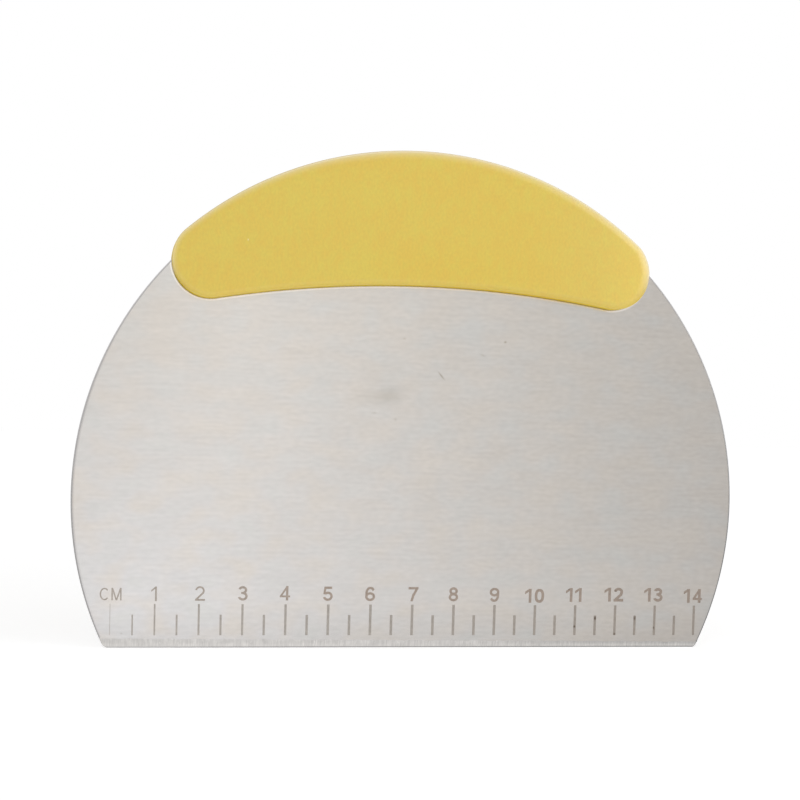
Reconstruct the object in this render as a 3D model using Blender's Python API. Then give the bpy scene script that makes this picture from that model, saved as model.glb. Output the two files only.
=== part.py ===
"""Half-moon dough scraper: a stainless blade held between two moulded handle shells.

The scraper stands on its scraping edge. X runs along the edge to the right, Z runs up, and the face with the
ground edge looks towards -Y. The origin is the middle of the scraping edge, halfway through the blade.
The blade is a disc cut off straight along the bottom. The handle is a crescent along the top of the disc, in
two halves: pins on the front shell pass through holes in the blade into sockets in the back shell.
Sizes are in metres.
"""

import math

import bmesh
import bpy
from mathutils import Vector

# Blade
BLADE_RADIUS = 0.07917
CENTRE_HEIGHT = 0.03525
BLADE_THICKNESS = 0.0010
LEFT_CORNER_RADIUS = 0.0016
RIGHT_CORNER_RADIUS = 0.0009

# Ground edge on the front face, which the grinder left wider at its left end
GRIND_WIDTH_LEFT = 0.0022
GRIND_WIDTH_RIGHT = 0.0013
GRIND_ANGLE = math.radians(15)

# Outline of the handle, seen from the front: a crescent between two arcs, whose ends are rounded
HANDLE_OVERHANG = 0.0029
HANDLE_HEIGHT = 0.03176
LOWER_EDGE_RADIUS = 0.2656
END_RADIUS = 0.0089

# Where the handle was set on the blade: a touch to the left, low and turned
HANDLE_SHIFT_X = -0.00045
HANDLE_SHIFT_Z = -0.0004
HANDLE_TURN = math.radians(0.58)

# Section of each handle shell
SHELL_DEPTH = 0.0045
SHELL_EDGE_ROUND = 0.0028
SHELL_DRAFT = math.radians(1)
SKIN_THICKNESS = 0.0018
BLADE_LEDGE = 0.0008

# Pins, the bosses round them, and the ribs between them
PIN_SPACING = 0.036
PIN_RADIUS = 0.0025
PIN_TIP_CHAMFER = 0.0005
BOSS_WALL = 0.0017
RIBS_PER_BAY = 2
RIB_THICKNESS = 0.0012

# Clearances between pieces
SEAT_GAP = 0.0003
BLADE_RIM_GAP = 0.0003
PARTING_GAP = 0.0003
PIN_HOLE_GAP = 0.0003
PIN_SOCKET_GAP = 0.0003
PIN_END_GAP = 0.0004

# Fineness of the round shapes, and how far a cutter runs past what it cuts
ARC_STEP = math.radians(2.5)
CORNER_STEP = math.radians(11)
END_STEP = math.radians(9)
LOWER_ARC_STEP = math.radians(1.7)
EDGE_ROUND_STEPS = 6
PIN_SIDES = 32
CUTTER_MARGIN = 0.004

# What follows from the sizes above
BLADE_FACE = BLADE_THICKNESS / 2
SEAT_FACE = BLADE_FACE + SEAT_GAP
OUTER_FACE = BLADE_FACE + SHELL_DEPTH
CAVITY_FLOOR = OUTER_FACE - SKIN_THICKNESS
HANDLE_TOP_RADIUS = BLADE_RADIUS + HANDLE_OVERHANG
LOWER_EDGE_APEX = HANDLE_TOP_RADIUS - HANDLE_HEIGHT
LOWER_EDGE_CENTRE = LOWER_EDGE_APEX - LOWER_EDGE_RADIUS
RIM_WALL = HANDLE_OVERHANG + BLADE_LEDGE
PIN_HOLE_RADIUS = PIN_RADIUS + PIN_HOLE_GAP
SOCKET_RADIUS = PIN_RADIUS + PIN_SOCKET_GAP
BOSS_RADIUS = SOCKET_RADIUS + BOSS_WALL
RIB_PITCH = PIN_SPACING / (RIBS_PER_BAY + 1)

# Which way a shell faces along Y
FRONT = -1
BACK = 1

STEEL_COLOUR = (0.62, 0.60, 0.575, 1)
HANDLE_COLOUR = (0.70, 0.52, 0.105, 1)


def clear_scene():
    """Removes every object that the file opened with."""
    for obj in list(bpy.data.objects):
        bpy.data.objects.remove(obj, do_unlink=True)


def steel_material():
    """Brushed stainless steel."""
    material = bpy.data.materials.new("brushed_stainless_steel")
    material.use_nodes = True
    shader = material.node_tree.nodes["Principled BSDF"]
    shader.inputs["Base Color"].default_value = STEEL_COLOUR
    shader.inputs["Metallic"].default_value = 1
    shader.inputs["Roughness"].default_value = 0.38
    return material


def handle_material():
    """Yellow polypropylene with a fine matte texture."""
    material = bpy.data.materials.new("yellow_polypropylene")
    material.use_nodes = True
    shader = material.node_tree.nodes["Principled BSDF"]
    shader.inputs["Base Color"].default_value = HANDLE_COLOUR
    shader.inputs["Metallic"].default_value = 0
    shader.inputs["Roughness"].default_value = 0.5
    return material


def arc(centre, radius, start, end, step):
    """Points on an arc about centre, from angle start to angle end, both included."""
    count = max(2, math.ceil(abs(end - start) / step))
    angles = (start + (end - start) * i / count for i in range(count + 1))
    return [centre + radius * Vector((math.cos(a), math.sin(a))) for a in angles]


def angle_of(vector):
    """The direction of a 2D vector, counter-clockwise from +X."""
    return math.atan2(vector.y, vector.x)


def without_repeats(points, nearest=1e-6):
    """The closed outline without points that fall on the one before."""
    return [p for i, p in enumerate(points) if (p - points[i - 1]).length > nearest]


def blade_outline():
    """The disc cut off along the scraping edge, with round corners, counter-clockwise as (x, z)."""
    disc_centre = Vector((0, CENTRE_HEIGHT))
    corners = []
    for side, radius in ((1, RIGHT_CORNER_RADIUS), (-1, LEFT_CORNER_RADIUS)):
        reach = math.sqrt((BLADE_RADIUS - radius) ** 2 - (CENTRE_HEIGHT - radius) ** 2)
        corners.append((Vector((side * reach, radius)), radius))
    (right, right_radius), (left, left_radius) = corners
    down = -math.pi / 2
    right_rim = angle_of(right - disc_centre)
    left_rim = angle_of(left - disc_centre) + 2 * math.pi
    outline = arc(right, right_radius, down, right_rim, CORNER_STEP)
    # The two halves meet at the top and have a point at each side, so that the width is the disc's own
    outline += arc(disc_centre, BLADE_RADIUS, right_rim, 0, ARC_STEP)
    outline += arc(disc_centre, BLADE_RADIUS, 0, math.pi, ARC_STEP)
    outline += arc(disc_centre, BLADE_RADIUS, math.pi, left_rim, ARC_STEP)
    outline += arc(left, left_radius, left_rim, down + 2 * math.pi, CORNER_STEP)
    return without_repeats(outline)


def handle_outline(inset=0.0):
    """The crescent, counter-clockwise as (x, z) from the disc's centre, moved inwards by inset all round."""
    top_centre = Vector((0, 0))
    lower_centre = Vector((0, LOWER_EDGE_CENTRE))
    # A round end touches both arcs, so its centre is one known distance from each arc's centre
    from_top = HANDLE_TOP_RADIUS - END_RADIUS
    from_lower = LOWER_EDGE_RADIUS + END_RADIUS
    end_height = (from_top**2 + LOWER_EDGE_CENTRE**2 - from_lower**2) / (2 * LOWER_EDGE_CENTRE)
    end = Vector((math.sqrt(from_top**2 - end_height**2), end_height))
    up = math.pi / 2
    half = arc(lower_centre, LOWER_EDGE_RADIUS + inset, up, angle_of(end - lower_centre), LOWER_ARC_STEP)
    half += arc(end, END_RADIUS - inset, angle_of(lower_centre - end), angle_of(end), END_STEP)
    half += arc(top_centre, HANDLE_TOP_RADIUS - inset, angle_of(end), up, ARC_STEP)
    other_half = [Vector((-p.x, p.y)) for p in reversed(half)]
    return without_repeats(half + other_half)


def handle_seat():
    """An empty at the disc's centre, shifted and turned: the shells and the pins' holes follow it."""
    seat = bpy.data.objects.new("handle_seat", None)
    seat.location = (HANDLE_SHIFT_X, 0, CENTRE_HEIGHT + HANDLE_SHIFT_Z)
    seat.rotation_euler = (0, -HANDLE_TURN, 0)
    bpy.context.scene.collection.objects.link(seat)
    return seat


def object_from(mesh, name, parent=None):
    """An object for a bmesh, whose faces are turned to point outwards."""
    bmesh.ops.recalc_face_normals(mesh, faces=mesh.faces)
    data = bpy.data.meshes.new(name)
    mesh.to_mesh(data)
    mesh.free()
    obj = bpy.data.objects.new(name, data)
    obj.parent = parent
    bpy.context.scene.collection.objects.link(obj)
    return obj


def ring_at(mesh, outline, y):
    """The vertices of an outline at one Y."""
    return [mesh.verts.new((p.x, y, p.y)) for p in outline]


def add_prism(mesh, outline, y_from, y_to, far_outline=None):
    """Adds a prism to the bmesh, from outline at y_from to far_outline, or the same one, at y_to.

    It returns the edges round the far face.
    """
    near = ring_at(mesh, outline, y_from)
    far = ring_at(mesh, far_outline or outline, y_to)
    for i in range(len(near)):
        mesh.faces.new((near[i - 1], near[i], far[i], far[i - 1]))
    mesh.faces.new(near)
    far_face = mesh.faces.new(far)
    bmesh.ops.recalc_face_normals(mesh, faces=mesh.faces)
    return list(far_face.edges)


def add_cylinder(mesh, centre, radius, y_from, y_to):
    """Adds a cylinder along Y about centre, given as (x, z). It returns the edges round its far end."""
    side = 2 * math.pi / PIN_SIDES
    outline = arc(centre, radius, side / 2, 2 * math.pi + side / 2, side)[:-1]
    return add_prism(mesh, outline, y_from, y_to)


def cylinders(places, radius, y_from, y_to):
    """A bmesh of one cylinder at each place."""
    mesh = bmesh.new()
    for place in places:
        add_cylinder(mesh, place, radius, y_from, y_to)
    return mesh


def round_edges(mesh, edges, radius, steps):
    """Rounds the edges in this many steps; one step is a chamfer."""
    bmesh.ops.bevel(mesh, geom=edges, offset=radius, segments=steps, profile=0.5, affect="EDGES")


def make_cutter(obj):
    """Keeps an object out of the render: it only shapes another."""
    obj.hide_render = True
    obj.display_type = "WIRE"
    return obj


def combine(target, operation, other):
    """Adds a Boolean modifier that cuts away or joins the other object, which doesn't show by itself."""
    modifier = target.modifiers.new(f"{operation.lower()}_{other.name}", "BOOLEAN")
    modifier.operation = operation
    modifier.solver = "EXACT"
    modifier.object = make_cutter(other)


def pin_places():
    """The pins' centres as (x, z) from the disc's centre: on the crescent's middle line."""
    places = []
    for i in (-1, 0, 1):
        x = i * PIN_SPACING
        top = math.sqrt(HANDLE_TOP_RADIUS**2 - x**2)
        bottom = LOWER_EDGE_CENTRE + math.sqrt(LOWER_EDGE_RADIUS**2 - x**2)
        places.append(Vector((x, (top + bottom) / 2)))
    return places


def rib_places():
    """Where the ribs cross the handle: spaced evenly between the pins, and one past each end pin."""
    last = RIBS_PER_BAY + 2
    return [i * RIB_PITCH for i in range(-last, last + 1) if i % (RIBS_PER_BAY + 1)]


def grind_wedge():
    """The wedge of steel that grinding takes off the front of the scraping edge."""
    half_length = BLADE_RADIUS + CUTTER_MARGIN
    lean = math.tan(GRIND_ANGLE)
    edge_half = math.sqrt(BLADE_RADIUS**2 - CENTRE_HEIGHT**2)
    middle_width = (GRIND_WIDTH_LEFT + GRIND_WIDTH_RIGHT) / 2
    taper = (GRIND_WIDTH_RIGHT - GRIND_WIDTH_LEFT) / (2 * edge_half)
    mesh = bmesh.new()
    ends = []
    for x in (-half_length, half_length):
        width = middle_width + taper * x
        corners = (
            (-BLADE_FACE - CUTTER_MARGIN, width + CUTTER_MARGIN / lean),
            (-BLADE_FACE + (width + CUTTER_MARGIN) * lean, -CUTTER_MARGIN),
            (-BLADE_FACE - CUTTER_MARGIN, -CUTTER_MARGIN),
        )
        ends.append([mesh.verts.new((x, y, z)) for y, z in corners])
    left, right = ends
    for i in range(len(left)):
        mesh.faces.new((left[i - 1], left[i], right[i], right[i - 1]))
    mesh.faces.new(left)
    mesh.faces.new(right)
    return object_from(mesh, "grind_wedge")


def build_blade(seat, steel):
    """The blade, with its ground edge and the holes that the handle's pins pass through."""
    mesh = bmesh.new()
    add_prism(mesh, blade_outline(), -BLADE_FACE, BLADE_FACE)
    blade = object_from(mesh, "blade")
    combine(blade, "DIFFERENCE", grind_wedge())
    past = BLADE_FACE + CUTTER_MARGIN
    holes = cylinders(pin_places(), PIN_HOLE_RADIUS, FRONT * past, BACK * past)
    combine(blade, "DIFFERENCE", object_from(holes, "pin_holes", seat))
    blade.data.materials.append(steel)
    return blade


def stiffeners(name, facing, seat):
    """The ribs across a shell and the bosses round its pins, longer than the shell is deep."""
    before = facing * (BLADE_FACE - 2 * CUTTER_MARGIN)
    beyond = facing * (OUTER_FACE + CUTTER_MARGIN)
    mesh = cylinders(pin_places(), BOSS_RADIUS, before, beyond)
    low = LOWER_EDGE_APEX - HANDLE_HEIGHT
    high = HANDLE_TOP_RADIUS + CUTTER_MARGIN
    for x in rib_places():
        left, right = x - RIB_THICKNESS / 2, x + RIB_THICKNESS / 2
        outline = [Vector(p) for p in ((left, low), (right, low), (right, high), (left, high))]
        add_prism(mesh, outline, before, beyond)
    return object_from(mesh, f"{name}_stiffeners", seat)


def cavity(name, facing, seat):
    """The hollow of a shell: its inside, less the ribs and the bosses that stand in it."""
    mesh = bmesh.new()
    add_prism(mesh, handle_outline(RIM_WALL), facing * (BLADE_FACE - CUTTER_MARGIN), facing * CAVITY_FLOOR)
    hollow = object_from(mesh, f"{name}_cavity", seat)
    combine(hollow, "DIFFERENCE", stiffeners(name, facing, seat))
    return hollow


def blade_pocket(name):
    """The room that the two shells leave between them for the blade."""
    disc_centre = Vector((0, CENTRE_HEIGHT))
    outline = arc(disc_centre, BLADE_RADIUS + BLADE_RIM_GAP, 0, 2 * math.pi, ARC_STEP)[:-1]
    mesh = bmesh.new()
    add_prism(mesh, outline, -SEAT_FACE, SEAT_FACE)
    return object_from(mesh, f"{name}_blade_pocket")


def build_shell(name, facing, seat, plastic):
    """Half of the handle: a drafted crescent with a rounded edge, hollow, and cut back for the blade."""
    mesh = bmesh.new()
    drafted = handle_outline(SHELL_DEPTH * math.tan(SHELL_DRAFT))
    face_edges = add_prism(mesh, handle_outline(), facing * PARTING_GAP / 2, facing * OUTER_FACE, drafted)
    round_edges(mesh, face_edges, SHELL_EDGE_ROUND, EDGE_ROUND_STEPS)
    shell = object_from(mesh, name, seat)
    combine(shell, "DIFFERENCE", cavity(name, facing, seat))
    combine(shell, "DIFFERENCE", blade_pocket(name))
    shell.data.materials.append(plastic)
    return shell


def pins(seat):
    """The pins, rooted in the front shell's skin and chamfered at their tips."""
    mesh = bmesh.new()
    root = FRONT * (CAVITY_FLOOR + SKIN_THICKNESS / 2)
    tip = BACK * (CAVITY_FLOOR - PIN_END_GAP)
    for place in pin_places():
        tip_edges = add_cylinder(mesh, place, PIN_RADIUS, root, tip)
        round_edges(mesh, tip_edges, PIN_TIP_CHAMFER, 1)
    return object_from(mesh, "pins", seat)


def build_front_shell(seat, plastic):
    """The front half, whose pins pass through the blade."""
    shell = build_shell("handle_front_shell", FRONT, seat, plastic)
    combine(shell, "UNION", pins(seat))
    return shell


def build_back_shell(seat, plastic):
    """The back half, whose bosses are bored as sockets for the pins."""
    shell = build_shell("handle_back_shell", BACK, seat, plastic)
    bores = cylinders(pin_places(), SOCKET_RADIUS, FRONT * CUTTER_MARGIN, BACK * CAVITY_FLOOR)
    combine(shell, "DIFFERENCE", object_from(bores, "sockets", seat))
    return shell


def shade_round(obj, sharp_from=math.radians(25)):
    """Smooth shading that keeps the real edges sharp."""
    obj.data.shade_smooth()
    obj.data.set_sharp_from_angle(angle=sharp_from)


def main():
    """Builds the scraper."""
    clear_scene()
    seat = handle_seat()
    steel = steel_material()
    plastic = handle_material()
    pieces = (
        build_blade(seat, steel),
        build_front_shell(seat, plastic),
        build_back_shell(seat, plastic),
    )
    for piece in pieces:
        shade_round(piece)


main()
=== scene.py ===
"""Half-moon dough scraper in a plain studio: a brushed blade with a centimetre scale in a moulded handle.

X runs along the scraping edge to the right, Z runs up, and the face with the scale looks towards -Y.
Lengths are in metres, or in mm where a docstring says so. Outlines are arrays whose last axis is (x, z).
"""

from __future__ import annotations

import logging
import math
from collections.abc import Iterator
from contextlib import contextmanager
from dataclasses import dataclass
from enum import Enum
from functools import partial, reduce
from typing import Any, Union

import bmesh
import bpy
import numpy as np
import numpy.typing as npt
from mathutils import Matrix, Vector


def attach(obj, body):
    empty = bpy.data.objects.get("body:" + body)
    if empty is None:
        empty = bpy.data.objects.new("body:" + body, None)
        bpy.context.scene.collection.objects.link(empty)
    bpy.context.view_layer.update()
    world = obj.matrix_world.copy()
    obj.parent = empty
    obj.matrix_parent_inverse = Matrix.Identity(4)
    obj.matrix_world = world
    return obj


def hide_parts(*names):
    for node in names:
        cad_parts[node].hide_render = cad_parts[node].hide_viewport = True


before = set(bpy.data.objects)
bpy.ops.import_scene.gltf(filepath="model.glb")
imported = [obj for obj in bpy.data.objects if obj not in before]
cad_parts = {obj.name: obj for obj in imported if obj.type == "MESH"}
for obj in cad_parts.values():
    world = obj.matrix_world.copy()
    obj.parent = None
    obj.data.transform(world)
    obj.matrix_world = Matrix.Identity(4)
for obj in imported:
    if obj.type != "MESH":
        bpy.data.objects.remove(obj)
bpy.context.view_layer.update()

Array = npt.NDArray[np.float64]
Pair = tuple[float, float]
Triple = tuple[float, float, float]
# A change is the range that a number has, and the range that it gets.
Change = tuple[Pair, Pair]
Piece = bpy.types.Object
Material = bpy.types.Material
Socket = bpy.types.NodeSocket
Feed = Union[Socket, float, tuple]

MM = 0.001
BODY = "root"
QUARTER = math.pi / 2
FULL_TURN = 2 * math.pi
DISC_RADIUS = 79.17 * MM
DISC_HEIGHT = 35.25 * MM
BLADE_HALF = 0.5 * MM
HANDLE_HALF = 5 * MM
SPOT_DEPTH = 0.4 * MM
TOUCH = 1e-6
GRAIN_MAP = "across_the_grain"
WHITE = (1.0, 1.0, 1.0)

log = logging.getLogger("scraper")


class Face(Enum):
    """Which way a flat side looks, as the sign of Y."""

    FRONT = -1
    BACK = 1


class Axis(Enum):
    """A direction on the blade, as the number of its coordinate."""

    ACROSS = 0
    UP = 2


def linear(*shown: float) -> Triple:
    """A colour as light.

    Args:
        shown: red, green and blue from 0 to 255, as a screen shows them.

    Returns:
        The three shares of light, from 0 to 1.
    """
    share = np.array(shown) / 255
    light = np.where(share <= 0.04045, share / 12.92, ((share + 0.055) / 1.055) ** 2.4)
    return tuple(float(part) for part in light)


def arc(centre: Pair, radius: Array | float, start: float, end: float, count: int) -> Array:
    """Points on an arc: the centre plus the radius times the cosine and sine of evenly spaced angles.

    Args:
        centre: the arc's centre.
        radius: one radius, or a column of them for several arcs about one centre.
        start: first angle in radians, counter-clockwise from +X.
        end: last angle, which isn't included.
        count: number of points.

    Returns:
        Points of shape (..., count, 2).
    """
    angles = np.linspace(start, end, count, endpoint=False)
    across = centre[0] + radius * np.cos(angles)
    up = centre[1] + radius * np.sin(angles)
    return np.stack(np.broadcast_arrays(across, up), -1)


def ring_quads(rings: int, around: int) -> Array:
    """The quads between closed rings: point i and i + 1 of each ring, and the same two of the next.

    Args:
        rings: number of rings.
        around: points in each ring.

    Returns:
        Point indices of shape (quads, 4).
    """
    j, i = np.meshgrid(np.arange(rings - 1) * around, np.arange(around), indexing="ij")
    here, along = j + i, j + (i + 1) % around
    return np.stack((here, along, along + around, here + around), -1).reshape(-1, 4)


def listed(*blocks: Array) -> list[list[int]]:
    """The rows of several arrays in one list."""
    return [row for block in blocks for row in block.tolist()]


def link(name: str, data: Any) -> Piece:
    """Puts a new object with its data into the scene.

    Args:
        name: its name.
        data: its mesh, lamp or camera.

    Returns:
        The object.
    """
    item = bpy.data.objects.new(name, data)
    bpy.context.scene.collection.objects.link(item)
    return item


@contextmanager
def opened(mesh: bpy.types.Mesh) -> Iterator[bmesh.types.BMesh]:
    """Opens a mesh for changes and writes them back.

    Args:
        mesh: the mesh.

    Yields:
        The open mesh.
    """
    work = bmesh.new()
    work.from_mesh(mesh)
    yield work
    work.to_mesh(mesh)
    work.free()


def new_piece(name: str, points: Array, faces: list, closed: bool = True, smooth: bool = True) -> Piece:
    """A piece from its points and faces, at the origin, with its place in its mesh.

    Args:
        name: its name.
        points: its points, of shape (n, 3).
        faces: its faces' point indices.
        closed: whether it is a closed surface, whose faces are then turned outwards.
        smooth: whether it is shaded smooth.

    Returns:
        The piece.
    """
    mesh = bpy.data.meshes.new(name)
    mesh.from_pydata(points.tolist(), [], faces)
    if closed:
        with opened(mesh) as work:
            bmesh.ops.recalc_face_normals(work, faces=work.faces)
    if smooth:
        mesh.shade_smooth()
    return link(name, mesh)


def triples(items: Any, name: str) -> Array:
    """One triple of numbers of every item of a mesh.

    Args:
        items: its vertices or polygons.
        name: the triple's name.

    Returns:
        Values of shape (items, 3).
    """
    values = np.empty(len(items) * 3, np.float32)
    items.foreach_get(name, values)
    return values.reshape(-1, 3).astype(np.float64)


def map_flat(mesh: bpy.types.Mesh) -> None:
    """Lays a UV map on a mesh: U is the height Z and V the place X, so that U runs across the grain.

    Args:
        mesh: the mesh.
    """
    corners = np.empty(len(mesh.loops), np.int32)
    mesh.loops.foreach_get("vertex_index", corners)
    flat = triples(mesh.vertices, "co")[corners][:, [2, 0]].astype(np.float32)
    mesh.uv_layers.new(name=GRAIN_MAP).data.foreach_set("uv", flat.ravel())


def settle(piece: Piece, slot: str, *nodes: str) -> None:
    """Hangs a finished piece on the scraper and reports it.

    Args:
        piece: the finished piece.
        slot: the record's material slot that it takes its finish from; it is not used.
        nodes: the CAD nodes that it stands for, if any.
    """
    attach(piece, BODY)
    if nodes:
        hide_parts(*nodes)
    triangles = sum(len(face.vertices) - 2 for face in piece.data.polygons)
    log.info("%s: %d triangles, stands for %s", piece.name, triangles, ", ".join(nodes) or "no node")


class Graph:
    """A node tree in the making. Each method adds what it is named for and hands back its output."""

    def __init__(self, tree: bpy.types.NodeTree) -> None:
        """Starts on an empty or a ready tree."""
        self.tree = tree

    def add(self, kind: str, feeds: dict[Any, Feed] | None = None, **settings: Any) -> bpy.types.Node:
        """Adds a node.

        Args:
            kind: the node's type name without ShaderNode.
            feeds: what its inputs take, by name or number: an output to join, or a value.
            settings: the node's own settings.

        Returns:
            The node.
        """
        node = self.tree.nodes.new(f"ShaderNode{kind}")
        for name, value in settings.items():
            setattr(node, name, value)
        self.feed(node, feeds or {})
        return node

    def feed(self, node: bpy.types.Node, feeds: dict[Any, Feed]) -> None:
        """Joins outputs to a node's inputs, or sets the inputs' own values.

        Args:
            node: the node.
            feeds: an output, a number or a colour for each input, by name or number.
        """
        for key, value in feeds.items():
            socket = node.inputs[key]
            if isinstance(value, bpy.types.NodeSocket):
                self.tree.links.new(value, socket)
            else:
                colour = isinstance(value, tuple) and socket.type == "RGBA"
                socket.default_value = (*value, 1) if colour else value

    def math(self, operation: str, first: Feed, second: Feed = 0.0) -> Socket:
        """One operation of the Math node on one number or two."""
        return self.add("Math", {0: first, 1: second}, operation=operation).outputs[0]

    def times(self, *factors: Feed) -> Socket:
        """The product of several numbers."""
        return reduce(partial(self.math, "MULTIPLY"), factors)

    def plus(self, *terms: Feed) -> Socket:
        """The sum of several numbers."""
        return reduce(partial(self.math, "ADD"), terms)

    def rest(self, share: Socket) -> Socket:
        """What a share leaves of 1."""
        return self.math("SUBTRACT", 1.0, share)

    def size(self, number: Socket) -> Socket:
        """The number without its sign."""
        return self.math("ABSOLUTE", number)

    def remap(self, value: Socket, before: Pair, after: Pair = (0.0, 1.0), smooth: bool = False) -> Socket:
        """Carries a number from one range to another, kept inside it.

        Args:
            value: the number.
            before: the range that it has.
            after: the range that it gets.
            smooth: whether it starts and ends softly.

        Returns:
            The result.
        """
        feeds = {"Value": value, 1: before[0], 2: before[1], 3: after[0], 4: after[1]}
        return self.add("MapRange", feeds, interpolation_type="SMOOTHSTEP" if smooth else "LINEAR").outputs[0]

    def soft(self, value: Socket, before: Pair, after: Pair = (0.0, 1.0)) -> Socket:
        """The same with a soft start and end."""
        return self.remap(value, before, after, smooth=True)

    def blend(self, share: Feed, first: Feed, second: Feed, kind: str = "MIX") -> Socket:
        """Mixes a share of the second colour into the first, in one of the Mix node's ways."""
        return self.add("Mix", {0: share, 6: first, 7: second}, data_type="RGBA", blend_type=kind).outputs[2]

    def toned(self, colour: Feed, tone: Socket) -> Socket:
        """The colour made lighter or darker by a factor."""
        grey = self.add("CombineColor", {0: tone, 1: tone, 2: tone}).outputs[0]
        return self.blend(1.0, colour, grey, "MULTIPLY")

    def place(self, cell: Triple = (1, 1, 1), centre: Triple = (0, 0, 0), turn: float = 0.0) -> Socket:
        """The place on the object, counted in cells from a centre.

        Args:
            cell: the length of one cell along X, Y and Z.
            centre: where the count starts.
            turn: how far the cells are turned about Y, in radians.

        Returns:
            The vector, which grows by 1 for each cell.
        """
        spot = self.add("TexCoord").outputs["Object"]
        feeds = {"Vector": spot, "Location": centre, "Rotation": (0.0, turn, 0.0), "Scale": cell}
        return self.add("Mapping", feeds, vector_type="TEXTURE").outputs[0]

    def parts(self, vector: Socket) -> tuple[Socket, ...]:
        """The three parts of a vector."""
        return tuple(self.add("SeparateXYZ", {0: vector}).outputs)

    def ramps(self, *ramps: Ramp) -> Socket:
        """The product of several ramps at a place."""
        return self.times(*(ramp.on(self) for ramp in ramps))

    def split(self, output: str = "Object") -> tuple[Socket, ...]:
        """The three parts of the object's own coordinates, or of its normal."""
        return self.parts(self.add("TexCoord").outputs[output])

    def length(self, vector: Socket) -> Socket:
        """The length of a vector."""
        return self.add("VectorMath", {0: vector}, operation="LENGTH").outputs["Value"]

    def distance(self, x: Socket, z: Socket, centre: Pair) -> Socket:
        """How far the place (x, z) is from a centre."""
        across, up = self.math("SUBTRACT", x, centre[0]), self.math("SUBTRACT", z, centre[1])
        return self.math("SQRT", self.plus(self.times(across, across), self.times(up, up)))

    def from_disc(self) -> Socket:
        """How far a place is from the blade's axis."""
        x, _, z = self.split()
        return self.distance(x, z, (0.0, DISC_HEIGHT))

    def bump(self, height: Socket, depth: float, **under: Socket) -> Socket:
        """Turns a height from 0 to 1 into a relief of a depth, which may lie on another Normal."""
        return self.add("Bump", {"Height": height, "Distance": depth, "Strength": 1.0, **under}).outputs[0]


class Finish(Graph):
    """A material in the making, around its Principled shader."""

    def __init__(self, name: str) -> None:
        """Starts a material.

        Args:
            name: its name.
        """
        self.material = bpy.data.materials.new(name)
        self.material.use_nodes = True
        super().__init__(self.material.node_tree)

    def done(self, feeds: dict[str, Feed]) -> Material:
        """Feeds the shader and hands the material over."""
        self.feed(self.tree.nodes["Principled BSDF"], feeds)
        return self.material

    def metal(self, colour: Socket, noise: Socket, rough: Change, relief: float, **more: Feed) -> Material:
        """Hands the material over as bare metal.

        Args:
            colour: its colour.
            noise: the noise that makes its relief.
            rough: how the noise changes into roughness.
            relief: how deep the noise is.
            more: what other inputs take.

        Returns:
            The material.
        """
        plain = {"Roughness": self.remap(noise, *rough), "Normal": self.bump(noise, relief)}
        return self.done({"Base Color": colour, "Metallic": 1.0, **plain, **more})


@dataclass(frozen=True)
class Ramp:
    """A number that changes between two places along an axis, given in mm, and stays level past them."""

    axis: Axis
    places: Pair
    values: Pair = (0.0, 1.0)
    smooth: bool = False

    def on(self, graph: Graph) -> Socket:
        """The number at a place."""
        places = (self.places[0] * MM, self.places[1] * MM)
        return graph.remap(graph.split()[self.axis.value], places, self.values, self.smooth)


@dataclass(frozen=True)
class Layer:
    """Noise on a surface: its blobs' length in mm along X, Y and Z, and how it changes into a tone."""

    cell: Triple
    tones: Change = ((0.0, 1.0), (1.0, 1.0))
    detail: float = 2.0
    finer: float = 0.5

    def noise(self, graph: Graph) -> Socket:
        """Smooth noise whose blobs are about as large as the cell.

        Args:
            graph: the material's graph.

        Returns:
            The noise, from 0 to 1.
        """
        cell = graph.place(tuple(length * MM for length in self.cell))
        feeds = {"Vector": cell, "Scale": 1.0, "Detail": self.detail, "Roughness": self.finer}
        return graph.add("TexNoise", feeds).outputs[0]

    def on(self, graph: Graph) -> tuple[Socket, Socket]:
        """The noise, and the factor that it puts on the colour."""
        noise = self.noise(graph)
        return noise, graph.remap(noise, *self.tones)


@dataclass(frozen=True)
class Spot:
    """One mark on a surface: its place and how far it reaches each way in mm, its strength and its turn."""

    x: float
    z: float
    long: float
    high: float
    strength: float
    turn: float = 0.0

    def share(self, graph: Graph, y: float) -> Socket:
        """How much of the mark a place has: strength at its centre, falling smoothly to 0 at its reach.

        Args:
            graph: the material's graph.
            y: the surface's place in depth, so that the other side stays clean.

        Returns:
            The share.
        """
        cell = (self.long * MM, SPOT_DEPTH, self.high * MM)
        reach = graph.length(graph.place(cell, (self.x * MM, y, self.z * MM), self.turn))
        return graph.soft(reach, (0.0, 1.0), (self.strength, 0.0))


@dataclass(frozen=True)
class Spots:
    """Several marks on one surface, each as the row of its numbers."""

    y: float
    rows: tuple[tuple[float, ...], ...]

    def share(self, graph: Graph) -> Socket:
        """The marks' shares, added up."""
        return graph.plus(*(Spot(*row).share(graph, self.y) for row in self.rows))

    def whole(self, graph: Graph) -> Socket:
        """The same, at most 1."""
        return graph.math("MINIMUM", self.share(graph), 1.0)


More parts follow.
